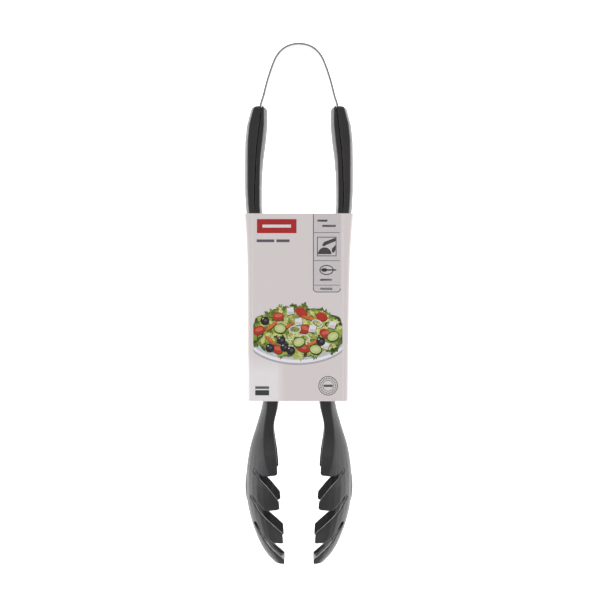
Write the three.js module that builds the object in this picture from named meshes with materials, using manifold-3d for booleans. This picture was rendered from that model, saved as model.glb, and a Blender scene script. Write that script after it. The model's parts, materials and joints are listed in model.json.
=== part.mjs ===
// Spring loaded kitchen tongs in their retail sleeve, lying on their side on a table.
//
// Millimetres. In the tongs' own frame X goes across the two arms, Y runs from the tips of the heads (-)
// to the spring bow (+), and Z is the depth of the grips and heads, with Z = 0 in the middle plane.
// The right arm is drawn, and the left arm is its mirror image. The last lines tip the whole group until
// both the grips and the wider heads touch the table, and put the origin under the middle of its box.

import * as THREE from 'three';
import { mergeVertices } from 'three/addons/utils/BufferGeometryUtils.js';
import Module from 'manifold-3d';

const wasm = await Module();
wasm.setup();

const { smoothstep, lerp } = THREE.MathUtils;

// ---------------------------------------------------------------- driving dimensions

const GAP = 0.3; // clearance between pieces that touch

// The arm's lines, each a list of [y, value], from the tip to the top of the grip.
const TIP_Y = -150.6;
const TOP_Y = 114.1;
const BACK_LINE = [ // outer side of the arm
  [TIP_Y, 14.6], [-146, 19.1], [-138.7, 23.4], [-127, 27.8], [-115, 30.4], [-105, 30.9], [-95, 30.5],
  [-83, 28.5], [-71, 24.8], [-59, 21.6], [-45, 20.5], [-20, 22.4], [10, 25.6], [35, 28.8], [52, 30.8],
  [62, 31.6], [80, 31.7], [95, 31.5], [106, 30.2], [TOP_Y, 27.8],
];
const FRONT_LINE = [ // inner side of the arm, and the line that the fingers' ends reach
  [TIP_Y, 8.3], [-141, 8.8], [-130, 9.6], [-122, 10.5], [-111, 11.6], [-98, 12.2], [-87, 13],
  [-76, 14.4], [-70, 14.4], [-59, 11.8], [-45, 10.8], [-20, 13.2], [10, 16.8], [35, 19.9], [52, 21.5],
  [60, 21.7], [71, 21.6], [80, 21.1], [88, 20.2], [97, 19], [105.7, 18.3], [110, 18.2], [TOP_Y, 18.6],
];
const HALF_DEPTH = [ // half of the arm's size along Z
  [TIP_Y, 10.6], [-138, 14.4], [-128, 17.2], [-117, 19.3], [-106, 20], [-98, 19.2], [-90, 16.4],
  [-83, 13], [-76, 10.2], [-66, 8.8], [-50, 8.5], [-20, 9.2], [10, 10.2], [35, 10.8], [55, 11],
  [80, 11], [108, 11], [TOP_Y, 10.6],
];

// Grip section: two flat sides, a crowned back and a flatter crowned front. In the neck the back edge of
// the flat side follows EDGE_LINE, down to the head, where only a narrow rim is left of it.
const BACK_CROWN = 2.1;
const FRONT_CROWN = 1.1;
const TOP_FRONT_CROWN = 1.9;
const TOP_ROUND = 1.4;
const NECK_Y = -45;
const HEAD_Y = -106;
const RIM_FLAT = 0.8;
const EDGE_LINE = [
  [HEAD_Y, 12.8], [-100, 15], [-95, 17.5], [-89, 19.2], [-83, 20.1], [-76, 20.3], [-70, 19.9],
  [-64, 19], [-57, 18.4], [NECK_Y, 18.2],
];
const DOME_FROM_Y = -106; // above this the back changes from half an ellipse ...
const DOME_TO_Y = -86; // ... to a crown that leaves the flat side at an angle

// Cup of the head.
const CUP_TOP_Y = -72;
const CUP_FULL_Y = -92;
const CUP_TIP_Y = -148.4;
const SPINE_WALL = 2.6;
const SIDE_WALL = 2.2;

// Three slots in each side wall of the head, each a wedge that opens towards the other arm. end is the
// middle of the slot's round end. above is the lower edge of the finger above it, which stops at fingerEnd
// with a rounded corner. below is the sloping upper edge of the finger below it.
const SLOT_INNER_Z = 5;
const FINGER_GAPS = [
  {
    end: [25.2, -96.3],
    radius: 0.95,
    above: [[22.3, -97.9], [20.6, -99.1], [17.6, -98.9]],
    fingerEnd: -98.5,
    round: 2.2,
    below: [[24, -99.2], [21.4, -101.9], [18.1, -105], [11.6, -112.9]],
  },
  {
    end: [26.9, -111.6],
    radius: 0.95,
    above: [[23.4, -114.6], [21.4, -116.9], [19.8, -118.6], [16.6, -118.6]],
    fingerEnd: -118.2,
    round: 2.4,
    below: [[25.7, -115.2], [22.7, -119.7], [17.6, -124.6], [9.4, -131.9]],
  },
  {
    end: [25.1, -127],
    radius: 0.8,
    above: [[20.9, -133.2], [18.3, -135.6], [14.6, -138]],
    fingerEnd: -138.1,
    round: 0.8,
    below: [[24.4, -129.8], [21.6, -134.3], [17.6, -139.6], [14.6, -142.6], [8.6, -147.8]],
  },
];

// Raised rest pad on the back of the head.
const PAD_Y = -106.5;
const PAD_RISE = 0.6;
const PAD_HALF = { x: 1.4, y: 9, z: 5 };

// Inner cover of the grip, and the line along the grip where it parts from the arm.
const COVER_END_Y = 20;
const PARTING_LINE = [
  [COVER_END_Y - 2, 21], [35, 23.3], [52, 25.1], [65, 25.4], [77, 25], [88, 24.4], [95, 23.7],
  [100, 23.1], [106, 22.3], [110, 21.9], [118, 21.2],
];
const COLLAR = { x: 3.6, z: 15, rise: 0.5 }; // low collar round the strip where it enters the grip

// Spring strip: the bow from its crown down to the grip, after which the tang follows the parting line.
const STRIP_THICKNESS = 1.1;
const STRIP_WIDTH = 12;
const BOW = [
  [0, 150.95], [5.3, 150.1], [9.4, 147.9], [13.1, 143.6], [16.1, 136.6], [18.7, 128.4], [20.8, 120.2],
];
const TANG_Y = [115.5, 110, 103, 95, 87, 79];
const STRIP_STEPS = 80;

// Self-tapping screw that holds the tang.
const SCREW_Y = 92;
const SCREW_HEAD = { radius: 2.6, height: 1.4 };
const SCREW_SHANK = { radius: 1.3, length: 5.2 };

// Card sleeve.
const SLEEVE_TOP_Y = 51.8;
const SLEEVE_BOTTOM_Y = -56.4;
const SLEEVE_MARGIN = 4.4; // from the crease at the edge of the front panel to the side
const SLEEVE_TURN = { x: 1.9, z: 2.2, drop: 0.3 }; // rounded turn from the margin into the side
const SLEEVE_HALF_WIDTH = 29.1;
const SLEEVE_LEAN = 0.8; // how much wider the sleeve gets up to its top edge ...
const SLEEVE_FLARE = 1.8; // ... and how much more it opens there, where the grips push it apart
const SLEEVE_HALF_DEPTH = 12.1;
const CARD = 0.45;

// Where the tongs touch the table when they lie on their side.
const GRIP_REST = { y: 112, z: 11 };
const HEAD_REST = { y: -106, z: 20 };

// ---------------------------------------------------------------- curves

// A smooth line through [y, value] points, as a function of y.
function lineThrough(points) {
  const slopes = points.map((_, i) => {
    const [y0, v0] = points[Math.max(i - 1, 0)];
    const [y1, v1] = points[Math.min(i + 1, points.length - 1)];
    return (v1 - v0) / (y1 - y0);
  });
  return (y) => {
    let i = points.findIndex(([end]) => y < end);
    i = i < 0 ? points.length - 1 : Math.max(i, 1);
    const [y0, v0] = points[i - 1];
    const [y1, v1] = points[i];
    const span = y1 - y0;
    const t = THREE.MathUtils.clamp((y - y0) / span, 0, 1);
    const late = t * t * (3 - 2 * t);
    const leave = t * (1 - t) * (1 - t) * span * slopes[i - 1];
    const arrive = t * t * (t - 1) * span * slopes[i];
    return lerp(v0, v1, late) + leave + arrive;
  };
}

const backLine = lineThrough(BACK_LINE);
const frontLine = lineThrough(FRONT_LINE);
const halfDepthLine = lineThrough(HALF_DEPTH);
const edgeLine = lineThrough(EDGE_LINE);
const partingLine = lineThrough(PARTING_LINE);
const tangLine = (y) => partingLine(y) + GAP + STRIP_THICKNESS / 2;

function steps(from, to, count) {
  return Array.from({ length: count + 1 }, (_, i) => lerp(from, to, i / count));
}

// ---------------------------------------------------------------- meshes and solids

// A closed mesh through rings of points, with a fan over each end. The rings are convex.
function loft(rings) {
  const positions = rings.flat().flatMap((p) => p.toArray());
  const count = rings[0].length;
  const index = [];
  for (let r = 0; r + 1 < rings.length; r += 1) {
    for (let i = 0; i < count; i += 1) {
      const a = r * count + i;
      const b = r * count + ((i + 1) % count);
      index.push(a, b, b + count, a, b + count, a + count);
    }
  }
  [rings[0], rings.at(-1)].forEach((ring, end) => {
    const centre = positions.length / 3;
    const middle = ring.reduce((sum, p) => sum.add(p), new THREE.Vector3()).divideScalar(count);
    positions.push(...middle.toArray());
    const first = end * (rings.length - 1) * count;
    for (let i = 0; i < count; i += 1) {
      const edge = [first + i, first + ((i + 1) % count)];
      index.push(centre, ...(end ? edge : edge.reverse()));
    }
  });
  const geometry = new THREE.BufferGeometry();
  geometry.setAttribute('position', new THREE.Float32BufferAttribute(positions, 3));
  geometry.setIndex(index);
  return geometry;
}

function enclosedVolume(geometry) {
  const points = geometry.getAttribute('position');
  const corner = [0, 1, 2].map(() => new THREE.Vector3());
  let volume = 0;
  for (let i = 0; i < geometry.index.count; i += 3) {
    corner.forEach((p, k) => p.fromBufferAttribute(points, geometry.index.getX(i + k)));
    volume += corner[0].dot(corner[1].cross(corner[2])) / 6;
  }
  return volume;
}

function turnedOutward(geometry) {
  if (enclosedVolume(geometry) < 0) {
    geometry.index.array.reverse();
  }
  return geometry;
}

function solid(geometry) {
  const bare = geometry.clone();
  bare.deleteAttribute('normal');
  bare.deleteAttribute('uv');
  const merged = turnedOutward(mergeVertices(bare, 1e-4));
  const mesh = new wasm.Mesh({
    numProp: 3,
    vertProperties: new Float32Array(merged.getAttribute('position').array),
    triVerts: new Uint32Array(merged.index.array),
  });
  return new wasm.Manifold(mesh);
}

function geometryOf(body) {
  const { vertProperties, triVerts } = body.getMesh();
  const geometry = new THREE.BufferGeometry();
  geometry.setAttribute('position', new THREE.BufferAttribute(new Float32Array(vertProperties), 3));
  geometry.setIndex(new THREE.BufferAttribute(new Uint32Array(triVerts), 1));
  return geometry;
}

// The same piece for the other arm.
function mirrored(geometry) {
  const copy = geometry.clone().applyMatrix4(new THREE.Matrix4().makeScale(-1, 1, 1));
  copy.index.array.reverse();
  return copy;
}

// An outline in X and Y, carried along Z from z0 to z1.
function slab(shape, z0, z1) {
  const options = { depth: z1 - z0, bevelEnabled: false, curveSegments: 4 };
  return new THREE.ExtrudeGeometry(shape, options).translate(0, 0, z0);
}

// ---------------------------------------------------------------- arm

// How far the flat side of the arm goes back at height y.
function sideEdge(y) {
  if (y > NECK_Y) {
    return backLine(y) - BACK_CROWN;
  }
  return y < HEAD_Y ? frontLine(y) + RIM_FLAT : edgeLine(y);
}

// One cross-section of the arm at height y, as a ring of points.
function armRing(y) {
  const rise = Math.max(y - (TOP_Y - TOP_ROUND), 0);
  const corner = Math.sqrt(Math.max(TOP_ROUND ** 2 - rise ** 2, 0));
  const inset = Math.min(TOP_ROUND - corner, 0.7 * TOP_ROUND);
  const back = backLine(y) - inset;
  const front = frontLine(y) + inset;
  const halfDepth = halfDepthLine(y) - inset;
  const edge = sideEdge(y) - inset;
  const gripCrown = lerp(FRONT_CROWN, TOP_FRONT_CROWN, smoothstep(y, 68, 90));
  const frontCrown = gripCrown * smoothstep(y, CUP_TOP_Y - 6, NECK_Y);
  const power = 1 + smoothstep(y, DOME_FROM_Y, DOME_TO_Y);
  const backPoints = steps(-Math.PI / 2, Math.PI / 2, 14).map((a) => new THREE.Vector3(
    lerp(edge, back, Math.max(Math.cos(a), 0) ** power), y, halfDepth * Math.sin(a),
  ));
  const frontPoints = steps(Math.PI / 2, -Math.PI / 2, 6).map((a) => new THREE.Vector3(
    front + frontCrown * Math.sin(a) ** 2, y, halfDepth * Math.sin(a),
  ));
  return [...backPoints, ...frontPoints];
}

function armBlank() {
  const heights = [
    ...steps(TIP_Y, NECK_Y, 32),
    ...steps(NECK_Y + 9, TOP_Y - TOP_ROUND, 16),
    ...[0.7, 0.4, 0.12, 0].map((part) => TOP_Y - part * TOP_ROUND),
  ];
  return solid(loft(heights.map(armRing)));
}

// The hollow of the head, open towards the other arm.
function cup() {
  const rings = steps(CUP_TOP_Y, CUP_TIP_Y, 22).map((y) => {
    const slope = backLine(y + 0.5) - backLine(y - 0.5);
    const front = frontLine(y);
    const opening = 1 - smoothstep(y, CUP_FULL_Y, CUP_TOP_Y + 1);
    const deepest = backLine(y) - SPINE_WALL * Math.hypot(1, slope) - front;
    const depth = Math.max(deepest * opening, 0.15);
    const halfWidth = (halfDepthLine(y) - SIDE_WALL) * lerp(0.7, 1, opening);
    const arch = steps(-Math.PI / 2, Math.PI / 2, 12).map((a) => new THREE.Vector3(
      front + depth * Math.cos(a), y, halfWidth * Math.sin(a),
    ));
    const outside = front - 6;
    return [
      new THREE.Vector3(outside, y, -halfWidth),
      ...arch,
      new THREE.Vector3(outside, y, halfWidth),
    ];
  });
  return solid(loft(rings));
}

// One slot, cut through both side walls of the head.
function fingerGap({ end, radius, above, fingerEnd, round, below }) {
  const centre = new THREE.Vector2(...end);
  const edges = [above, below].map((edge) => edge.map((point) => new THREE.Vector2(...point)));
  const mouth = edges[0][0].clone().add(edges[1][0]).divideScalar(2);
  const angle = centre.clone().sub(mouth).angle();
  const across = new THREE.Vector2(-Math.sin(angle), Math.cos(angle)).multiplyScalar(radius);
  const start = centre.clone().sub(across);
  const front = frontLine(fingerEnd);
  const outside = front - 8;
  const shape = new THREE.Shape();
  shape.moveTo(start.x, start.y);
  shape.absarc(centre.x, centre.y, radius, angle - Math.PI / 2, angle + Math.PI / 2, false);
  edges[0].forEach(({ x, y }) => shape.lineTo(x, y));
  shape.lineTo(front + round, fingerEnd);
  shape.quadraticCurveTo(front - 0.1, fingerEnd, front - 0.1, fingerEnd + round);
  shape.lineTo(outside, fingerEnd + round);
  shape.lineTo(outside, edges[1].at(-1).y);
  shape.lineTo(edges[1].at(-1).x, edges[1].at(-1).y);
  shape.splineThru([...edges[1].slice(0, -1).reverse(), start]);
  const outer = HEAD_REST.z + 3;
  return solid(slab(shape, SLOT_INNER_Z, outer)).add(solid(slab(shape, -outer, -SLOT_INNER_Z)));
}

function collar() {
  const box = new THREE.BoxGeometry(COLLAR.x, 4, COLLAR.z);
  return solid(box.translate(tangLine(TOP_Y), TOP_Y + COLLAR.rise - 2, 0));
}

function restPad() {
  const pad = new THREE.SphereGeometry(1, 20, 10);
  pad.scale(PAD_HALF.x, PAD_HALF.y, PAD_HALF.z);
  pad.translate(backLine(PAD_Y) + PAD_RISE - PAD_HALF.x, PAD_Y, 0);
  return solid(pad);
}

// ---------------------------------------------------------------- grip cover, strip and screw

// The part of the grip on the inner side of the parting line.
function coverZone(grow) {
  const shape = new THREE.Shape();
  const heights = steps(COVER_END_Y - grow, TOP_Y + 2, 16);
  shape.moveTo(10, heights[0]);
  heights.forEach((y) => shape.lineTo(partingLine(y) + grow, y));
  shape.lineTo(10, heights.at(-1));
  return solid(slab(shape, -20, 20));
}

function stripOutline(halfThickness, extraEnd) {
  const tang = TANG_Y.map((y) => [tangLine(y), y]);
  const [endX, endY] = tang.at(-1);
  tang.push([endX + tangLine(endY - extraEnd - 0.01) - tangLine(endY), endY - extraEnd - 0.01]);
  const half = [...BOW, ...tang].map(([x, y]) => new THREE.Vector3(x, y, 0));
  const otherHalf = half.slice(1).reverse().map(({ x, y }) => new THREE.Vector3(-x, y, 0));
  const curve = new THREE.CatmullRomCurve3([...otherHalf, ...half], false, 'centripetal');
  const sides = [1, -1].map((side) => steps(0, 1, STRIP_STEPS).map((t) => {
    const point = curve.getPointAt(t);
    const along = curve.getTangentAt(t);
    const out = side * halfThickness;
    return new THREE.Vector2(point.x - out * along.y, point.y + out * along.x);
  }));
  return new THREE.Shape([...sides[0], ...sides[1].reverse()]);
}

function strip(halfThickness, halfWidth, extraEnd) {
  return solid(slab(stripOutline(halfThickness, extraEnd), -halfWidth, halfWidth));
}

// Something round on the screw's axis, given as [radius, distance from under the head] points.
function onScrewAxis(profile) {
  const lathe = new THREE.LatheGeometry(profile.map(([r, s]) => new THREE.Vector2(r, s)), 16);
  const slope = tangLine(SCREW_Y + 0.5) - tangLine(SCREW_Y - 0.5);
  lathe.rotateZ(-Math.PI / 2 - Math.atan(slope));
  const underHead = tangLine(SCREW_Y) - STRIP_THICKNESS / 2 - GAP;
  return lathe.translate(underHead, SCREW_Y, 0);
}

function screw() {
  const { radius, height } = SCREW_HEAD;
  const body = solid(onScrewAxis([
    [0, -height], [0.5 * radius, -height], [0.85 * radius, -0.75 * height], [radius, -0.3 * height],
    [radius, 0], [SCREW_SHANK.radius, 0], [SCREW_SHANK.radius, SCREW_SHANK.length - 1.2],
    [0, SCREW_SHANK.length],
  ]));
  const recess = [[3, 0.7], [0.7, 3]].map(([y, z]) => {
    const bar = new THREE.BoxGeometry(1.4, y, z);
    bar.translate(tangLine(SCREW_Y) - STRIP_THICKNESS / 2 - GAP - height, SCREW_Y, 0);
    return solid(bar);
  });
  return recess.reduce((left, bar) => left.subtract(bar), body);
}

function roundHole(radius, from, to) {
  return solid(onScrewAxis([[0, from], [radius, from], [radius, to], [0, to]]));
}

// ---------------------------------------------------------------- sleeve

// The sleeve's outline at height y, moved inwards by inset.
function sleeveRing(y, inset) {
  const rise = (y - SLEEVE_BOTTOM_Y) / (SLEEVE_TOP_Y - SLEEVE_BOTTOM_Y);
  const halfWidth = SLEEVE_HALF_WIDTH + SLEEVE_LEAN * rise + SLEEVE_FLARE * rise ** 6;
  const turn = { x: SLEEVE_TURN.x - inset, z: SLEEVE_TURN.z - inset };
  const turnZ = SLEEVE_HALF_DEPTH - SLEEVE_TURN.drop - SLEEVE_TURN.z;
  const corner = steps(0, Math.PI / 2, 6).map((a) => [
    halfWidth - SLEEVE_TURN.x + turn.x * Math.cos(a), turnZ + turn.z * Math.sin(a),
  ]);
  corner.push([halfWidth - SLEEVE_MARGIN, SLEEVE_HALF_DEPTH - inset]);
  const right = [
    ...corner.map(([x, z]) => new THREE.Vector3(x, y, -z)).reverse(),
    ...corner.map(([x, z]) => new THREE.Vector3(x, y, z)),
  ];
  const left = right.map(({ x, z }) => new THREE.Vector3(-x, y, -z));
  return [...right, ...left];
}

function sleeve() {
  const heights = steps(SLEEVE_BOTTOM_Y, SLEEVE_TOP_Y, 12);
  const outside = heights.map((y) => sleeveRing(y, 0));
  const inside = [SLEEVE_BOTTOM_Y - 1, ...heights, SLEEVE_TOP_Y + 1].map((y) => sleeveRing(y, CARD));
  return solid(loft(outside)).subtract(solid(loft(inside)));
}

// ---------------------------------------------------------------- the pieces

const uncut = armBlank().add(collar()).subtract(cup());
const blank = FINGER_GAPS.reduce((left, gap) => left.subtract(fingerGap(gap)), uncut);
const tangPocket = strip(STRIP_THICKNESS / 2 + GAP, STRIP_WIDTH / 2 + GAP, 1);
const screwHole = roundHole(SCREW_SHANK.radius + GAP, -SCREW_HEAD.height, SCREW_SHANK.length + GAP);
const headRecess = roundHole(SCREW_HEAD.radius + GAP, -SCREW_HEAD.height - GAP, GAP);

const cutBlank = blank.subtract(coverZone(GAP)).subtract(tangPocket).subtract(screwHole);
const arm = geometryOf(cutBlank.add(restPad()));
const cover = geometryOf(blank.intersect(coverZone(0)).subtract(tangPocket).subtract(headRecess));
const tangScrew = geometryOf(screw());
const stripHole = roundHole(SCREW_SHANK.radius + GAP, -2, 2);
const spring = strip(STRIP_THICKNESS / 2, STRIP_WIDTH / 2, 0)
  .subtract(stripHole)
  .subtract(solid(mirrored(mergeVertices(geometryOf(stripHole)))));

const nylon = new THREE.MeshStandardMaterial({ color: 0x34302e, roughness: 0.45, metalness: 0 });
const coverNylon = new THREE.MeshStandardMaterial({ color: 0x2c2927, roughness: 0.5, metalness: 0 });
const steel = new THREE.MeshStandardMaterial({ color: 0xa9a7a5, roughness: 0.3, metalness: 1 });
const zinc = new THREE.MeshStandardMaterial({ color: 0xb9bcc0, roughness: 0.35, metalness: 1 });
const card = new THREE.MeshStandardMaterial({ color: 0xd1c9c8, roughness: 0.6, metalness: 0 });

function named(name, geometry, material) {
  const mesh = new THREE.Mesh(geometry, material);
  mesh.name = name;
  return mesh;
}

const armPieces = [['arm', arm, nylon], ['grip_cover', cover, coverNylon], ['tang_screw', tangScrew, zinc]];

const tongs = new THREE.Group();
tongs.add(named('spring_strip', geometryOf(spring), steel));
tongs.add(named('card_sleeve', geometryOf(sleeve()), card));
armPieces.forEach(([name, geometry, material]) => {
  tongs.add(named(`right_${name}`, geometry, material));
  tongs.add(named(`left_${name}`, mirrored(geometry), material));
});

// Tipped until grips and heads are both on the table, with the origin under the middle of the box.
tongs.rotation.x = -Math.atan2(HEAD_REST.z - GRIP_REST.z, GRIP_REST.y - HEAD_REST.y);
const box = new THREE.Box3().setFromObject(tongs, true);
const middle = box.getCenter(new THREE.Vector3());
tongs.position.set(-middle.x, -middle.y, -box.min.z);

const part = new THREE.Group();
part.add(tongs);

export default part;
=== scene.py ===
import json
import math
import random

import bmesh
import bpy
import numpy as np
from mathutils import Matrix, Vector
from mathutils.kdtree import KDTree


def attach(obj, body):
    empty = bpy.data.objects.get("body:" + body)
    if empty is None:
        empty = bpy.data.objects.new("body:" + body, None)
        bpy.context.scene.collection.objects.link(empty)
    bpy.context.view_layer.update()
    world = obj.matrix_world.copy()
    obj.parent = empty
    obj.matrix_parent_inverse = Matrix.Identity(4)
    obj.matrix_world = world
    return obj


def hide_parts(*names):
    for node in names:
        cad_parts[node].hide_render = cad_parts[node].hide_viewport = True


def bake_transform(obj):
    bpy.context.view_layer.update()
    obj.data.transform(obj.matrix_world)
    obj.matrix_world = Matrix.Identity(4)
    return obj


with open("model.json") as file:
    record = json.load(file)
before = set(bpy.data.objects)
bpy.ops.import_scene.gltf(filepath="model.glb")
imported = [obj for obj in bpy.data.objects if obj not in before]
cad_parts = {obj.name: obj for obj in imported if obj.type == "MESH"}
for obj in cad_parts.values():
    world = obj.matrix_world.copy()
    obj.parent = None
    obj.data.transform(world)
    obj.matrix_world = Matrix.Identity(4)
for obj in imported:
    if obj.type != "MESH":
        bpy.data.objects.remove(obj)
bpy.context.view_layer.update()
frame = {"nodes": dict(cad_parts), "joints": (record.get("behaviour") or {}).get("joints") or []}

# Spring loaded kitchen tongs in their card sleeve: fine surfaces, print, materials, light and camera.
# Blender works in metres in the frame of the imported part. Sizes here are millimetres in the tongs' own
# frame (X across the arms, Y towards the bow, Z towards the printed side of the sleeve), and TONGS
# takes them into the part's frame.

MM = 0.001
PIVOT_Y = 141  # height of the two squeeze hinges on the bow

# Nylon mouldings.
ARM_VOXEL = 0.42
COVER_VOXEL = 0.3
CREASE_DEG = 32  # a sharper edge than this is a real edge of the moulding, and not a facet
CREASE_SAMPLE = 0.4  # spacing of the points that stand for such an edge
CREASE_NEAR, CREASE_FAR = 0.3, 2.6  # fairing grows from none to full between these distances from it
ROUNDING_PASSES = 2
FAIRING_PASSES = 70
FAIRING_PULL, FAIRING_PUSH = 0.55, 0.56

# Spring strip.
DEBURR = 0.16
SHEARED_COSINE = 0.7  # a face that turns this far towards the strip's side is one of its sheared edges

# Card sleeve. Its sides run from these half widths at the bottom to the CAD sleeve's own at the top.
CARD = 0.45
LEFT_BOTTOM, RIGHT_BOTTOM = 29.8, 28.5
LEFT_CREASE, RIGHT_CREASE = -26.8, 25.4
FLARE = 1.8  # how much more the last stretch to the top opens
MARGIN_DROP = 0.3  # from a crease to the rounded turn into the side
TURN = (1.9, 2.2)
SIDE_STEPS = 9
CUT_STEP = 2.5
FLAP = {"x": (-17, -3), "slope": 3, "thickness": 0.4, "gap": 0.02, "inset": 0.05}
PAINTED_SHEEN_X, PAINTED_SHEEN_Y = (-13, -8), (-40, -28)  # where the painted highlight in the card's bottom left corner fades out

# Print on the sleeve. A bar is its x from and to, then its y from and to.
INK = 0.01
FIRST_LAYER = 0.012
LABEL = (-24.2, -1.4, 40.4, 48.5)
LABEL_BAR = (-21, -4.6, 43.6, 45.3)
WORD_BARS = [
    (-24.4, -14.2, 35.2, 36.8), (-13, -5.4, 35.2, 36.8),  # under the label
    (10.6, 16.4, 47, 48.2), (13.4, 21.2, 44, 45.2),  # at the top of the tab
    (12.2, 19, 12.9, 14.1), (12.2, 19.2, 7.8, 9),  # at the bottom of the tab
    (-25.2, -17.2, -49.3, -47.8),  # in the bottom left corner
]
CORNER_BLOCK = (-25.2, -17.2, -53, -50)
TAB = {"x": (8.1, 24.1), "top_gap": 0.3, "bottom": 6.3, "corner": 2.2, "line": 0.42}
RULE, RULES_Y, RULE_INSET = 0.28, (40.6, 24.4, 10.3), 0.6
PICTURE_FRAME = (10.4, 21.6, 27.1, 38.3)
HEAP = {"at": (14.8, 28.3), "radius": 3.9}
JAWS = [
    [(13.2, 33.4), (14.6, 35.4), (21.1, 37.8), (21.1, 35.8), (15.9, 33.7), (14.4, 32.8)],
    [(18.9, 29.4), (19, 31.4), (21.1, 33.6), (21.1, 30.9), (20.2, 29.2)],
]
RING = {"at": (15.9, 19.2), "radii": (4.1, 2.9), "line": 0.55}
SPOON_HANDLE = (12.6, 21.4, 18.8, 19.6)
SPOON_BOWL = {"at": (14.6, 19.2), "radii": (1.7, 1.1)}
SEAL = {"at": (16.8, -47.5), "outer": 5.6, "outer_line": 0.42, "inner": 3.3, "inner_line": 0.3}
SEAL_BAR = {"half_width": 2.6, "half_height": 0.65}
RAYS, RAY_FROM_TO, RAY_HALF_WIDTH = 28, (3.9, 4.7), 0.24
PLATE_Y, PLATE_BACK_Y = -17.6, -15
SALAD_MIDDLE = (-0.6, -16.4)
SALAD_REACH = {"sideways": 27, "up": 14.6, "down": 15}
SALAD_SEED = 23
SPOTS_TRIED = 14

# Light. The table is a softly lit white one, as in a photograph of goods. The sky is brightest at its edge.
TABLE_SIZE_M = 3
TABLE_GLOW = 1.35
SKY, HORIZON, SKY_FROM = 0.54, 1.2, 0.35
LIGHT_TARGET = (0, 0, 0.02)
COOL, WHITE = (0.9, 0.87, 1), (1, 1, 1)
PANELS = [  # name, place, size in metres, power in watts, colour
    ("left_panel", (-0.85, 0, 0.42), (0.5, 1.2), 2, COOL),
    ("right_panel", (0.85, 0, 0.42), (0.5, 1.2), 2, COOL),
    ("far_panel", (0, 0.95, 0.6), (1, 0.4), 1.2, WHITE),
    ("near_panel", (0, -0.95, 0.6), (1, 0.4), 1.2, WHITE),
]

# Camera, above the middle plane of the tongs.
CAMERA = (0.6, 1.9, 700)
PHOTO_WIDTH = 351.6
SENSOR = 36
CLIP_END_M = 20


def tongs_matrix():
    """From the tongs' own frame, in millimetres, to the part's frame, in metres."""
    joints = {joint["name"]: joint for joint in frame["joints"]}
    y = Vector(joints["sleeve_slide"]["axis"]).normalized()
    z = Vector(joints["left_squeeze"]["axis"]).normalized()
    x = y.cross(z)
    pivots = [Vector(joints[name]["pos_m"]) for name in ("left_squeeze", "right_squeeze")]
    origin = (pivots[0] + pivots[1]) / 2 - PIVOT_Y * MM * y
    turn = Matrix((x, y, z)).transposed().to_4x4()
    return Matrix.Translation(origin) @ turn @ Matrix.Scale(MM, 4)


TONGS = tongs_matrix()


def node_points(name):
    """A CAD node's points in the tongs' own frame, in millimetres."""
    to_tongs = TONGS.inverted()
    return np.array([to_tongs @ v.co for v in frame["nodes"][name].data.vertices])


SLEEVE_POINTS = node_points("card_sleeve")
SLEEVE_LOW, SLEEVE_HIGH = SLEEVE_POINTS.min(0), SLEEVE_POINTS.max(0)
PANEL_Z = SLEEVE_HIGH[2]


# ---------------------------------------------------------------- shader helpers


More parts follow.
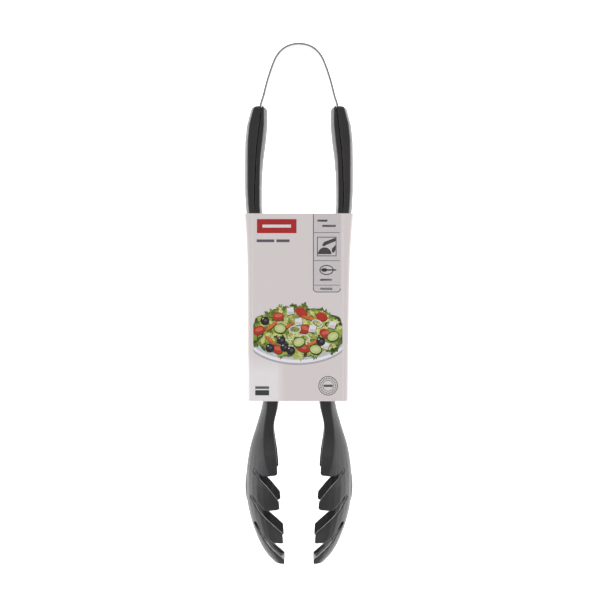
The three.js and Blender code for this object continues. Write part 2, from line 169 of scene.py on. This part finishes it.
class Shader:
    """A Principled material and the few node patterns that the materials here share."""

    def __init__(self, name, color, roughness, metallic=0.0):
        self.material = bpy.data.materials.new(name)
        self.material.use_nodes = True
        self.tree = self.material.node_tree
        self.surface = self.tree.nodes["Principled BSDF"]
        self.surface.inputs["Base Color"].default_value = (*color, 1)
        self.surface.inputs["Roughness"].default_value = roughness
        self.surface.inputs["Metallic"].default_value = metallic
        self.coordinates = self.tree.nodes.new("ShaderNodeTexCoord")

    def link(self, source, target):
        self.tree.links.new(source, target)

    def place(self, scale):
        """Object coordinates times a scale for each axis. They are metres, so 1000 is one a millimetre."""
        mapping = self.tree.nodes.new("ShaderNodeMapping")
        mapping.inputs["Scale"].default_value = scale
        self.link(self.coordinates.outputs["Object"], mapping.inputs["Vector"])
        return mapping.outputs["Vector"]

    def noise(self, scale, detail=3.0, roughness=0.55):
        node = self.tree.nodes.new("ShaderNodeTexNoise")
        node.inputs["Scale"].default_value = 1
        node.inputs["Detail"].default_value = detail
        node.inputs["Roughness"].default_value = roughness
        self.link(self.place(scale), node.inputs["Vector"])
        return node.outputs["Fac"]

    def ramp(self, value, stops):
        node = self.tree.nodes.new("ShaderNodeValToRGB")
        ramp = node.color_ramp
        while len(ramp.elements) < len(stops):
            ramp.elements.new(0.5)
        for element, (position, color) in zip(ramp.elements, stops):
            element.position = position
            element.color = (*color, 1)
        self.link(value, node.inputs["Fac"])
        return node.outputs["Color"]

    def scaled(self, value, low, high, from_low=0.25, from_high=0.75):
        node = self.tree.nodes.new("ShaderNodeMapRange")
        node.inputs["From Min"].default_value = from_low
        node.inputs["From Max"].default_value = from_high
        node.inputs["To Min"].default_value = low
        node.inputs["To Max"].default_value = high
        self.link(value, node.inputs["Value"])
        return node.outputs["Result"]

    def mix(self, factor, first, second):
        node = self.tree.nodes.new("ShaderNodeMix")
        node.data_type = "RGBA"
        for socket, value in ((0, factor), (6, first), (7, second)):
            if isinstance(value, tuple):
                node.inputs[socket].default_value = (*value, 1)
            else:
                self.link(value, node.inputs[socket])
        return node.outputs[2]

    def math(self, operation, *values):
        node = self.tree.nodes.new("ShaderNodeMath")
        node.operation = operation
        for socket, value in zip(node.inputs, values):
            if isinstance(value, (int, float)):
                socket.default_value = value
            else:
                self.link(value, socket)
        return node.outputs["Value"]

    def bumps(self, layers):
        """layers holds (height, strength, distance in metres)."""
        normal = None
        for height, strength, distance in layers:
            node = self.tree.nodes.new("ShaderNodeBump")
            node.inputs["Strength"].default_value = strength
            node.inputs["Distance"].default_value = distance
            self.link(height, node.inputs["Height"])
            if normal is not None:
                self.link(normal, node.inputs["Normal"])
            normal = node.outputs["Normal"]
        self.link(normal, self.surface.inputs["Normal"])

    def paint(self, color):
        self.link(color, self.surface.inputs["Base Color"])

    def polish(self, value):
        self.link(value, self.surface.inputs["Roughness"])


def per_mm(x, y=None, z=None):
    """Scale for patterns with so many features a millimetre along each axis."""
    return (x / MM, (x if y is None else y) / MM, (x if z is None else z) / MM)


def nylon(name, dark, light, roughness):
    shader = Shader(name, dark, roughness)
    cloudy = shader.noise(per_mm(0.05), detail=4)
    grain = shader.noise(per_mm(2.6), detail=2, roughness=0.6)
    fine = shader.noise(per_mm(7), detail=1)
    shader.paint(shader.ramp(cloudy, [(0.3, dark), (0.7, light)]))
    shader.polish(shader.scaled(shader.noise(per_mm(0.35), detail=3), roughness - 0.05, roughness + 0.07))
    shader.bumps([(grain, 0.35, 0.02 * MM), (fine, 0.25, 0.008 * MM)])
    shader.surface.inputs["Specular IOR Level"].default_value = 0.5
    return shader.material


def strip_steel(name, dark, light, roughness):
    """Rolled strip: fine lines along its length, which are layers across its width."""
    shader = Shader(name, dark, roughness, metallic=1.0)
    lengthwise = shader.noise(per_mm(0.03, 0.03, 14), detail=4, roughness=0.7)
    cloudy = shader.noise(per_mm(0.12), detail=2)
    shader.paint(shader.ramp(lengthwise, [(0.3, dark), (0.7, light)]))
    shader.polish(shader.scaled(cloudy, roughness - 0.05, roughness + 0.08))
    shader.bumps([(lengthwise, 0.3, 0.01 * MM)])
    return shader.material


def screw_steel():
    shader = Shader("screw_steel", (0.7, 0.71, 0.73), 0.25, metallic=1.0)
    blotch = shader.noise(per_mm(1.2), detail=3)
    shader.paint(shader.ramp(blotch, [(0.3, (0.62, 0.63, 0.66)), (0.7, (0.76, 0.77, 0.78))]))
    shader.polish(shader.scaled(blotch, 0.2, 0.34))
    shader.bumps([(shader.noise(per_mm(5), detail=2), 0.2, 0.01 * MM)])
    return shader.material


def coated_card():
    """Pale grey coated board, with a painted highlight that lightens its bottom left corner, worn pale on its
    creases.
    """
    shader = Shader("coated_card", (0.6, 0.56, 0.55), 0.42)
    place = shader.tree.nodes.new("ShaderNodeSeparateXYZ")
    shader.link(shader.place(per_mm(1)), place.inputs["Vector"])
    # Painted highlight: towards the bottom left the card's colour is mixed to a paler one.
    towards_left = shader.scaled(place.outputs["X"], 1, 0, *PAINTED_SHEEN_X)
    towards_bottom = shader.scaled(place.outputs["Y"], 1, 0, *PAINTED_SHEEN_Y)
    painted_sheen = shader.math("MULTIPLY", towards_left, towards_bottom)
    tone = shader.mix(painted_sheen, (0.81, 0.75, 0.71), (0.95, 0.91, 0.89))
    fibre = shader.noise(per_mm(0.9, 0.25, 0.9), detail=5, roughness=0.65)
    mottled = shader.mix(shader.scaled(fibre, 0, 0.14), tone, (0.76, 0.71, 0.67))
    creases = [shader.math("COMPARE", place.outputs["X"], x, 0.3) for x in (LEFT_CREASE, RIGHT_CREASE)]
    wear = shader.scaled(shader.noise(per_mm(0.6), detail=3), 0.1, 0.6)
    worn = shader.math("MULTIPLY", shader.math("ADD", *creases), wear)
    shader.paint(shader.mix(worn, mottled, (0.93, 0.91, 0.9)))
    shader.polish(shader.scaled(fibre, 0.36, 0.5))
    shader.bumps([(fibre, 0.12, 0.03 * MM)])
    return shader.material


def ink(name, color, spread=0.16, roughness=0.4):
    """Offset print: a fine uneven film with slightly varied colour."""
    dark = tuple(c * (1 - spread) for c in color)
    light = tuple(min(c * (1 + spread), 1) for c in color)
    shader = Shader(name, color, roughness)
    cloudy = shader.noise(per_mm(0.7), detail=5, roughness=0.7)
    shader.paint(shader.ramp(cloudy, [(0.3, dark), (0.7, light)]))
    shader.polish(shader.scaled(shader.noise(per_mm(2.5), detail=2), roughness - 0.06, roughness + 0.08))
    shader.bumps([(cloudy, 0.1, 0.01 * MM)])
    return shader.material


def table_top():
    shader = Shader("table_top", (0.93, 0.93, 0.93), 0.7)
    cloudy = shader.noise((9, 9, 9), detail=4)
    shader.paint(shader.ramp(cloudy, [(0.3, (0.925, 0.925, 0.93)), (0.7, (0.945, 0.945, 0.945))]))
    shader.surface.inputs["Specular IOR Level"].default_value = 0.2
    shader.surface.inputs["Emission Color"].default_value = (1, 1, 1, 1)
    shader.surface.inputs["Emission Strength"].default_value = TABLE_GLOW
    return shader.material


# ---------------------------------------------------------------- mesh helpers


def new_piece(name, mesh, materials):
    piece = bpy.data.objects.new(name, mesh)
    bpy.context.scene.collection.objects.link(piece)
    for material in materials:
        mesh.materials.append(material)
    return piece


def mesh_of(name, bm):
    mesh = bpy.data.meshes.new(name)
    bm.to_mesh(mesh)
    bm.free()
    return mesh


def welded(node):
    """A bmesh copy of a CAD node with its shared corners joined."""
    bm = bmesh.new()
    bm.from_mesh(frame["nodes"][node].data)
    bmesh.ops.remove_doubles(bm, verts=bm.verts, dist=1e-6)
    return bm


def applied(piece):
    """The piece's mesh with its modifiers applied."""
    graph = bpy.context.evaluated_depsgraph_get()
    mesh = bpy.data.meshes.new_from_object(piece.evaluated_get(graph))
    piece.modifiers.clear()
    old = piece.data
    piece.data = mesh
    bpy.data.meshes.remove(old)
    return mesh


def crease_distances(bm, points):
    """Each point's distance to the nearest real edge, in millimetres."""
    samples = []
    for edge in bm.edges:
        if edge.is_manifold and edge.calc_face_angle() > math.radians(CREASE_DEG):
            a, b = (v.co for v in edge.verts)
            count = int((b - a).length / (CREASE_SAMPLE * MM)) + 1
            samples += [a.lerp(b, i / count) for i in range(count + 1)]
    tree = KDTree(len(samples))
    for i, sample in enumerate(samples):
        tree.insert(sample, i)
    tree.balance()
    return np.array([tree.find(p)[2] for p in points]) / MM


def fine_moulding(name, node, material, voxel):
    """The moulding as it leaves its tool: the CAD form with fair surfaces and slightly rounded edges."""
    bm = welded(node)
    mesh = bpy.data.meshes.new(name)
    bm.to_mesh(mesh)
    piece = new_piece(name, mesh, [material])
    remesh = piece.modifiers.new("remesh", "REMESH")
    remesh.mode = "VOXEL"
    remesh.voxel_size = voxel * MM
    mesh = applied(piece)
    count = len(mesh.vertices)
    points = np.zeros(count * 3)
    mesh.vertices.foreach_get("co", points)
    points = points.reshape(-1, 3)
    ends = np.zeros(len(mesh.edges) * 2, int)
    mesh.edges.foreach_get("vertices", ends)
    ends = ends.reshape(-1, 2)
    from_to = np.concatenate([ends, ends[:, ::-1]])
    valence = np.bincount(from_to[:, 0], minlength=count)
    far = np.clip((crease_distances(bm, points) - CREASE_NEAR) / (CREASE_FAR - CREASE_NEAR), 0, 1)
    bm.free()

    def pull(share):
        means = np.stack([
            np.bincount(from_to[:, 0], weights=points[from_to[:, 1], axis], minlength=count) / valence
            for axis in range(3)
        ], axis=1)
        return points + (means - points) * share

    for _ in range(ROUNDING_PASSES):
        points = pull(0.5)
    for _ in range(FAIRING_PASSES):
        points = pull(FAIRING_PULL * far[:, None])
        points = pull(-FAIRING_PUSH * far[:, None])
    mesh.vertices.foreach_set("co", points.ravel())
    mesh.update()
    mesh.shade_smooth()
    return piece


# ---------------------------------------------------------------- pieces


def arm(side):
    """An arm's moulding and the cover of its grip, and the finish of its screw."""
    body = f"{side}_arm_body"
    moulding = fine_moulding(f"{side}_arm_moulding", f"{side}_arm", NYLON, ARM_VOXEL)
    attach(moulding, body)
    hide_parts(f"{side}_arm")
    cover = fine_moulding(f"{side}_grip_inlay", f"{side}_grip_cover", COVER_NYLON, COVER_VOXEL)
    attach(cover, body)
    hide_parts(f"{side}_grip_cover")
    tang_screw = frame["nodes"][f"{side}_tang_screw"]
    tang_screw.data.materials.clear()
    tang_screw.data.materials.append(SCREW_STEEL)


def half_strip(side):
    """Half of the spring strip, from the crown of the bow to the end of its tang."""
    name = f"{side}_half_strip"
    sign = 1 if side == "right" else -1
    bm = welded("spring_strip")
    bmesh.ops.bisect_plane(
        bm, geom=[*bm.verts, *bm.edges, *bm.faces], dist=1e-7, plane_co=TONGS.translation,
        plane_no=(sign, 0, 0), clear_inner=True,
    )
    bmesh.ops.holes_fill(bm, edges=[edge for edge in bm.edges if edge.is_boundary])
    mesh = mesh_of(name, bm)
    piece = new_piece(name, mesh, [STRIP_STEEL, STRIP_EDGE])
    width_way = TONGS.to_quaternion() @ Vector((0, 0, 1))
    for polygon in mesh.polygons:
        polygon.material_index = int(abs(polygon.normal.dot(width_way)) > SHEARED_COSINE)
    bevel = piece.modifiers.new("deburred", "BEVEL")
    bevel.width = DEBURR * MM
    bevel.segments = 3
    bevel.limit_method = "ANGLE"
    bevel.angle_limit = math.radians(40)
    mesh = applied(piece)
    mesh.shade_smooth()
    mesh.set_sharp_from_angle(angle=math.radians(35))
    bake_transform(piece)
    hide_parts("spring_strip")


def sleeve_loop(y, inset):
    """The sleeve's section at height y, moved inwards by inset: two flat panels, their margins and two sides.

    The sleeve sits slightly askew, so that its right side tapers more than its left side. The grips push
    both sides apart at its top.
    """
    rise = (y - SLEEVE_LOW[1]) / (SLEEVE_HIGH[1] - SLEEVE_LOW[1])
    left_edge, right_edge = (
        low + (SLEEVE_HIGH[0] - FLARE - low) * rise + FLARE * rise ** 6
        for low in (LEFT_BOTTOM, RIGHT_BOTTOM)
    )
    turn_x, turn_z = TURN
    side_z = PANEL_Z - MARGIN_DROP - turn_z
    quarter = [(math.sin(a), math.cos(a)) for a in np.linspace(0, math.pi / 2, SIDE_STEPS)]
    loop = []
    for crease, edge in ((RIGHT_CREASE, right_edge), (LEFT_CREASE, -left_edge)):
        sign = 1 if edge > 0 else -1
        corner = [(edge - sign * turn_x * (1 - s), side_z + turn_z * c) for s, c in quarter]
        upper = [(crease, PANEL_Z), *corner]
        lower = [(x, -z) for x, z in upper[::-1]]
        loop += [(x, sign * z) for x, z in upper + lower]
    loop = np.array(loop)
    along = np.roll(loop, -1, axis=0) - np.roll(loop, 1, axis=0)
    outward = np.stack([-along[:, 1], along[:, 0]], axis=1)
    return loop - inset * outward / np.linalg.norm(outward, axis=1)[:, None]


def card_sleeve():
    """The folded card: its outer face, its inner face and the cut edges at its two ends."""
    bm = bmesh.new()
    bottom, top = SLEEVE_LOW[1], SLEEVE_HIGH[1]
    heights = np.linspace(bottom, top, int((top - bottom) / CUT_STEP) + 1)
    walls = [
        [[bm.verts.new(TONGS @ Vector((x, y, z))) for x, z in sleeve_loop(y, inset)] for y in heights]
        for inset in (0, CARD)
    ]
    count = len(walls[0][0])
    for wall in walls:
        for low, high in zip(wall, wall[1:]):
            for i in range(count):
                bm.faces.new((low[i], low[i - 1], high[i - 1], high[i]))
    for row in (0, -1):
        outer, inner = walls[0][row], walls[1][row]
        for i in range(count):
            bm.faces.new((outer[i], outer[i - 1], inner[i - 1], inner[i]))
    bmesh.ops.recalc_face_normals(bm, faces=bm.faces)
    mesh = mesh_of("folded_card_sleeve", bm)
    piece = new_piece("folded_card_sleeve", mesh, [COATED_CARD])
    mesh.shade_smooth()
    mesh.set_sharp_from_angle(angle=math.radians(28))
    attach(piece, "sleeve")
    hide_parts("card_sleeve")


def plates(name, outlines, low, high, material):
    """Thin closed plates that ride on the sleeve, between two heights. outlines holds lists of (x, y)."""
    bm = bmesh.new()
    for outline in outlines:
        under, over = [[bm.verts.new(TONGS @ Vector((x, y, z))) for x, y in outline] for z in (low, high)]
        bm.faces.new(over)
        bm.faces.new(reversed(under))
        for i in range(len(outline)):
            bm.faces.new((under[i - 1], under[i], over[i], over[i - 1]))
    bmesh.ops.recalc_face_normals(bm, faces=bm.faces)
    piece = new_piece(name, mesh_of(name, bm), [material])
    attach(piece, "sleeve")


def printed(name, outlines, material, layer=0):
    """Areas of one ink on the front of the sleeve."""
    low = PANEL_Z + FIRST_LAYER + layer * INK
    plates(name, outlines, low, low + INK, material)


def bar(x0, x1, y0, y1):
    return [(x0, y0), (x1, y0), (x1, y1), (x0, y1)]


def oval(cx, cy, rx, ry, turn=0.0, count=32, wobble=None):
    points = []
    for i in range(count):
        a = 2 * math.pi * i / count
        r = 1 + (wobble(a) if wobble else 0)
        x, y = rx * r * math.cos(a), ry * r * math.sin(a)
        cos, sin = math.cos(turn), math.sin(turn)
        points.append((cx + x * cos - y * sin, cy + x * sin + y * cos))
    return points


def glue_flap():
    """The lap where the card is glued, on the back of the sleeve."""
    high = -PANEL_Z - FLAP["gap"]
    bottom, top = SLEEVE_LOW[1], SLEEVE_HIGH[1]
    slope, inset = FLAP["slope"], FLAP["inset"]
    x0, x1 = FLAP["x"]
    outline = [(x0, bottom + inset), (x1, bottom + slope), (x1, top - slope), (x0, top - inset)]
    plates("glue_flap", [outline], high - FLAP["thickness"], high, COATED_CARD)


# ---------------------------------------------------------------- print on the sleeve


def label_and_bars():
    """A plain red label, and plain bars where the package carries its words."""
    red = ink("ink_brick_red", (0.47, 0.014, 0.014))
    pale = ink("ink_label_bar", (0.85, 0.83, 0.82), spread=0.04)
    grey = ink("ink_grey", (0.12, 0.115, 0.12))
    dark = ink("ink_charcoal", (0.045, 0.043, 0.045))
    printed("print_label", [bar(*LABEL)], red)
    printed("print_label_bar", [bar(*LABEL_BAR)], pale, layer=1)
    printed("print_bars", [bar(*word) for word in WORD_BARS], grey)
    printed("print_block", [bar(*CORNER_BLOCK)], dark)


def rim(points, width):
    """The band of that width just inside a convex outline given counter-clockwise, in four-sided areas."""
    count = len(points)
    inner = []
    for i in range(count):
        (ax, ay), (bx, by), (cx, cy) = points[i - 1], points[i], points[(i + 1) % count]
        first, second = math.atan2(by - ay, bx - ax), math.atan2(cy - by, cx - bx)
        half_turn = math.remainder(second - first, 2 * math.pi) / 2
        middle = first + half_turn
        reach = width / math.cos(half_turn)
        inner.append((bx - reach * math.sin(middle), by + reach * math.cos(middle)))
    return [[points[i - 1], points[i], inner[i], inner[i - 1]] for i in range(count)]


def info_tab():
    """A tinted tab hanging from the top edge, with plain pictograms between thin rules."""
    dark = ink("ink_tab", (0.06, 0.058, 0.06))
    (x0, x1), corner = TAB["x"], TAB["corner"]
    top, bottom = SLEEVE_HIGH[1] - TAB["top_gap"], TAB["bottom"]
    outline = [(x1, top), (x0, top)]
    for cx, first in ((x0 + corner, 180), (x1 - corner, 270)):
        for k in range(7):
            a = math.radians(first + 15 * k)
            outline.append((cx + corner * math.cos(a), bottom + corner + corner * math.sin(a)))
    printed("print_tab_tint", [outline], ink("ink_tab_tint", (0.7, 0.65, 0.635), spread=0.04))
    printed("print_tab_line", rim(outline, TAB["line"])[2:], dark, layer=1)
    rules = [bar(x0 + RULE_INSET, x1 - RULE_INSET, y, y + RULE) for y in RULES_Y]
    frame_line = rim(bar(*PICTURE_FRAME), TAB["line"])
    (cx, cy), radius = HEAP["at"], HEAP["radius"]
    heap = [(cx + radius * math.cos(a), cy + radius * math.sin(a)) for a in np.linspace(0, math.pi, 16)]
    ring = rim(oval(*RING["at"], *RING["radii"], count=36), RING["line"])
    spoon = [bar(*SPOON_HANDLE), oval(*SPOON_BOWL["at"], *SPOON_BOWL["radii"], count=18)]
    printed("print_tab_signs", rules + frame_line + [heap] + JAWS + ring + spoon, dark, layer=2)


def seal():
    """A plain round stamp: two rings, short rays between them, and a bar across the middle."""
    dark = ink("ink_seal", (0.1, 0.096, 0.1))
    cx, cy = SEAL["at"]
    outer, inner = SEAL["outer"], SEAL["inner"]
    near, far = RAY_FROM_TO
    areas = rim(oval(cx, cy, outer, outer, count=40), SEAL["outer_line"])
    areas += rim(oval(cx, cy, inner, inner, count=32), SEAL["inner_line"])
    for k in range(RAYS):
        a = 2 * math.pi * k / RAYS
        along = (math.cos(a), math.sin(a))
        across = (-RAY_HALF_WIDTH * math.sin(a), RAY_HALF_WIDTH * math.cos(a))
        areas.append([
            (cx + r * along[0] + side * across[0], cy + r * along[1] + side * across[1])
            for r, side in ((near, -1), (far, -1), (far, 1), (near, 1))
        ])
    half_width, half_height = SEAL_BAR["half_width"], SEAL_BAR["half_height"]
    areas.append(bar(cx - half_width, cx + half_width, cy - half_height, cy + half_height))
    printed("print_seal", areas, dark)


def salad_plate():
    """An illustrated plate of salad from crease to crease, in shapes that a seeded draw lays out."""
    draw = random.Random(SALAD_SEED)
    (mid_x, mid_y), low_x, high_x = SALAD_MIDDLE, LEFT_CREASE + 0.5, RIGHT_CREASE - 0.35
    shade = ink("ink_salad_shade", (0.03, 0.035, 0.012))
    taken = []

    def kept(outline):
        """The outline, cut off at the creases."""
        return [(min(max(x, low_x), high_x), y) for x, y in outline]

    def lay(name, outlines, color, layer, spread=0.16):
        colored = ink(f"ink_{name}", color, spread)
        printed(f"print_{name}", [kept(outline) for outline in outlines], colored, layer)

    def shaded(name, outlines, color, layer, spread=0.25):
        """Items over their own soft dark edge."""
        under = [kept([(x + 0.15, y - 0.45) for x, y in outline]) for outline in outlines]
        printed(f"print_{name}_shade", under, shade, layer)
        lay(name, outlines, color, layer + 1, spread)

    def heap_point(reach):
        a, r = draw.uniform(0, 2 * math.pi), math.sqrt(draw.random()) * reach
        reach_y = SALAD_REACH["up" if a < math.pi else "down"]
        return mid_x + SALAD_REACH["sideways"] * r * math.cos(a), mid_y + reach_y * r * math.sin(a)

    def free_spot(reach):
        """Of the drawn points that fit, the one farthest from what already lies there."""
        tried = [heap_point(reach) for _ in range(SPOTS_TRIED)]
        spots = [spot for spot in tried if low_x + 2 < spot[0] < high_x - 2]
        best = max(spots, key=lambda spot: min((math.dist(spot, other) for other in taken), default=0))
        taken.append(best)
        return best

    def frilled(cx, cy, size):
        waves, phase = draw.randint(4, 8), draw.uniform(0, 6)

        def lobes(a):
            return 0.24 * math.sin(waves * a + phase) + 0.12 * math.sin(2.7 * waves * a)
        return oval(cx, cy, size, size * draw.uniform(0.4, 0.75), draw.uniform(0, math.pi), 34, lobes)

    def plate_oval(drop, rx, ry):
        return [(x, min(y, PLATE_BACK_Y)) for x, y in oval(mid_x, PLATE_Y - drop, rx, ry, count=72)]

    def cube_side(x, y):
        return [(x - 1.7, y - 0.3), (x + 1.8, y - 0.4), (x + 1.5, y - 1.7), (x - 1.4, y - 1.6)]

    lay("plate_shadow", [plate_oval(1.5, 30.5, 16.4)], (0.5, 0.46, 0.48), 0)
    lay("plate", [plate_oval(0, 30.5, 16.8)], (0.93, 0.93, 0.95), 1, spread=0.03)
    lay("plate_well", [plate_oval(-0.6, 29.5, 15.6)], (0.62, 0.62, 0.66), 2)
    base = oval(mid_x, mid_y, 28, 14.3, count=90, wobble=lambda a: 0.035 * math.sin(13 * a))
    lay("leaf_shade", [base], (0.05, 0.075, 0.012), 3, spread=0.4)
    for k, green in enumerate([(0.1, 0.16, 0.02), (0.24, 0.33, 0.04), (0.42, 0.5, 0.08), (0.66, 0.7, 0.24)]):
        leaves = [frilled(*heap_point(1 - 0.03 * k), draw.uniform(1.8, 3.4 - 0.35 * k)) for _ in range(80)]
        lay(f"leaves_{k}", leaves, green, 4 + k, spread=0.35)

    wedges = [free_spot(0.84) for _ in range(8)]
    tomatoes = [oval(x, y, draw.uniform(3.2, 4.3), 2.5, draw.uniform(-0.7, 0.7), 20) for x, y in wedges]
    shaded("tomato", tomatoes, (0.5, 0.03, 0.012), 8)
    flesh = [oval(x + 0.2, y + 0.5, 2.3, 1.1, draw.uniform(-0.6, 0.6), 16) for x, y in wedges[:6]]
    lay("tomato_flesh", flesh, (0.68, 0.14, 0.07), 10, spread=0.3)

    peppers = [free_spot(0.8) for _ in range(5)]
    strips = [oval(x, y, 4, 0.95, draw.uniform(-0.8, 0.8), 16) for x, y in peppers]
    shaded("pepper", strips, (0.7, 0.16, 0.03), 11)

    onions = [free_spot(0.75) for _ in range(4)]
    rings = [area for x, y in onions for area in rim(oval(x, y, 3.4, 2.3, draw.uniform(-0.5, 0.5), 24), 0.6)]
    lay("onion", rings, (0.8, 0.78, 0.78), 13, spread=0.1)

    cubes = [free_spot(0.84) for _ in range(5)]
    tops = [oval(x, y, 2.9, 2.7, draw.uniform(0.4, 1.1), 4) for x, y in cubes]
    shaded("cheese", tops, (0.86, 0.83, 0.82), 14, spread=0.06)
    lay("cheese_side", [cube_side(x, y) for x, y in cubes], (0.66, 0.63, 0.64), 16, spread=0.08)

    slices = [(x, y, draw.uniform(-0.4, 0.4)) for x, y in (free_spot(0.8) for _ in range(4))]
    skins = [oval(x, y, 3.7, 2.9, turn, 28) for x, y, turn in slices]
    shaded("cucumber_skin", skins, (0.05, 0.11, 0.015), 17)
    flesh = [oval(x, y, 3.2, 2.4, turn, 28) for x, y, turn in slices]
    lay("cucumber", flesh, (0.56, 0.66, 0.22), 19, spread=0.12)
    cores = [oval(x, y, 1.8, 1.2, turn, 20) for x, y, turn in slices]
    lay("cucumber_core", cores, (0.68, 0.73, 0.36), 20, spread=0.1)

    olives = [free_spot(0.88) for _ in range(6)]
    shaded("olive", [oval(x, y, 2.5, 2.3, count=24) for x, y in olives], (0.012, 0.01, 0.014), 21)
    holes = [oval(x + 0.5, y + 0.1, 0.95, 0.8, count=16) for x, y in olives]
    lay("olive_hole", holes, (0.1, 0.09, 0.1), 23)
    glints = [oval(x - 1, y + 1.1, 0.55, 0.3, 0.6, 12) for x, y in olives]
    lay("olive_glint", glints, (0.7, 0.72, 0.76), 24, spread=0.1)


# ---------------------------------------------------------------- table, light and camera


def table():
    bm = bmesh.new()
    bmesh.ops.create_grid(bm, x_segments=24, y_segments=24, size=TABLE_SIZE_M)
    new_piece("table", mesh_of("table", bm), [table_top()])


def soft_light(name, place, size, power, color):
    light = bpy.data.lights.new(name, "AREA")
    light.shape = "RECTANGLE"
    light.size, light.size_y = size
    light.energy = power
    light.color = color
    lamp = bpy.data.objects.new(name, light)
    lamp.location = place
    lamp.rotation_euler = (Vector(LIGHT_TARGET) - Vector(place)).to_track_quat("-Z", "Y").to_euler()
    bpy.context.scene.collection.objects.link(lamp)


def studio():
    world = bpy.data.worlds.new("studio")
    bpy.context.scene.world = world
    world.use_nodes = True
    tree = world.node_tree
    tree.nodes["Background"].inputs["Color"].default_value = (0.97, 0.97, 1, 1)
    direction = tree.nodes.new("ShaderNodeTexCoord")
    parts = tree.nodes.new("ShaderNodeSeparateXYZ")
    tree.links.new(direction.outputs["Generated"], parts.inputs["Vector"])
    fade = tree.nodes.new("ShaderNodeMapRange")
    fade.inputs["From Max"].default_value = SKY_FROM
    fade.inputs["To Min"].default_value = HORIZON
    fade.inputs["To Max"].default_value = SKY
    tree.links.new(parts.outputs["Z"], fade.inputs["Value"])
    tree.links.new(fade.outputs["Result"], tree.nodes["Background"].inputs["Strength"])
    for panel in PANELS:
        soft_light(*panel)
    bpy.context.scene.view_settings.view_transform = "Standard"


def photo_camera():
    data = bpy.data.cameras.new("photo_camera")
    data.sensor_width = SENSOR
    data.lens = SENSOR * CAMERA[2] / PHOTO_WIDTH
    data.clip_end = CLIP_END_M
    camera = bpy.data.objects.new("photo_camera", data)
    turn = TONGS.to_quaternion().to_matrix().to_4x4()
    camera.matrix_world = Matrix.Translation(TONGS @ Vector(CAMERA)) @ turn
    bpy.context.scene.collection.objects.link(camera)
    bpy.context.scene.camera = camera


NYLON = nylon("arm_nylon", (0.021, 0.0195, 0.0185), (0.028, 0.026, 0.0245), 0.33)
COVER_NYLON = nylon("cover_nylon", (0.016, 0.0135, 0.0125), (0.021, 0.018, 0.017), 0.34)
STRIP_STEEL = strip_steel("strip_face", (0.36, 0.35, 0.345), (0.48, 0.475, 0.47), 0.24)
STRIP_EDGE = strip_steel("strip_sheared_edge", (0.3, 0.285, 0.28), (0.42, 0.405, 0.4), 0.42)
SCREW_STEEL = screw_steel()
COATED_CARD = coated_card()

table()
studio()
photo_camera()
for side in ("right", "left"):
    arm(side)
    half_strip(side)
card_sleeve()
glue_flap()
label_and_bars()
info_tab()
salad_plate()
seal()
